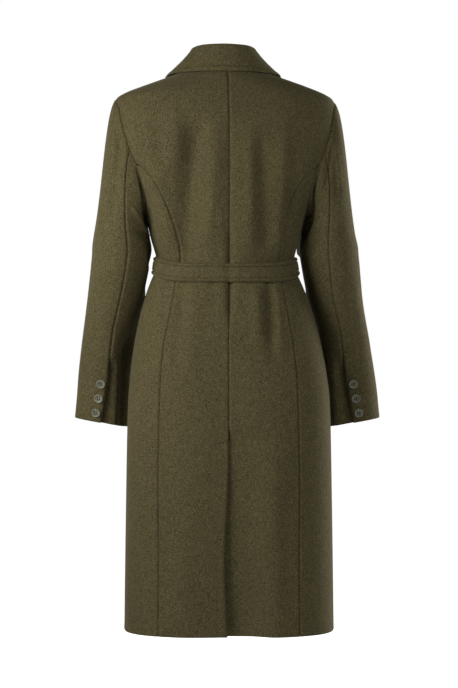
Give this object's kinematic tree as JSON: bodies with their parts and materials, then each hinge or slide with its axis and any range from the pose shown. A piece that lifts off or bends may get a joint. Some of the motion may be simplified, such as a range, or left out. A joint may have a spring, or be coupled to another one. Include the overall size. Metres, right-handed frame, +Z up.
{
  "type": "long coat",
  "caption": "Long wool coat in olive green, filled out as worn, with turn-down collar, princess seams, back vent, buttoned cuff vents and a tied belt.",
  "frame": {"origin": "middle of the neck opening at the height of the side neck, where the wearer carries the coat", "axes": "+Z up, the front faces -Y, +X is the wearer's left"},
  "size_m": [0.6041, 0.2779, 1.1258],
  "materials": {
    "wool": "brushed melange wool, matt",
    "button": "satin"
  },
  "bodies": {
    "root": {"back_left": "wool", "back_right": "wool", "side_back_left": "wool", "side_back_right": "wool", "front_left": "wool", "front_right": "wool", "collar": "wool", "sleeve_upper_left": "wool", "sleeve_upper_right": "wool", "sleeve_under_left": "wool", "sleeve_under_right": "wool", "belt_band": "wool", "belt_knot": "wool", "belt_end_left": "wool", "belt_end_right": "wool", "cuff_button_left_1": "button", "cuff_button_left_2": "button", "cuff_button_left_3": "button", "cuff_button_right_1": "button", "cuff_button_right_2": "button", "cuff_button_right_3": "button"}
  },
  "joints": []
}
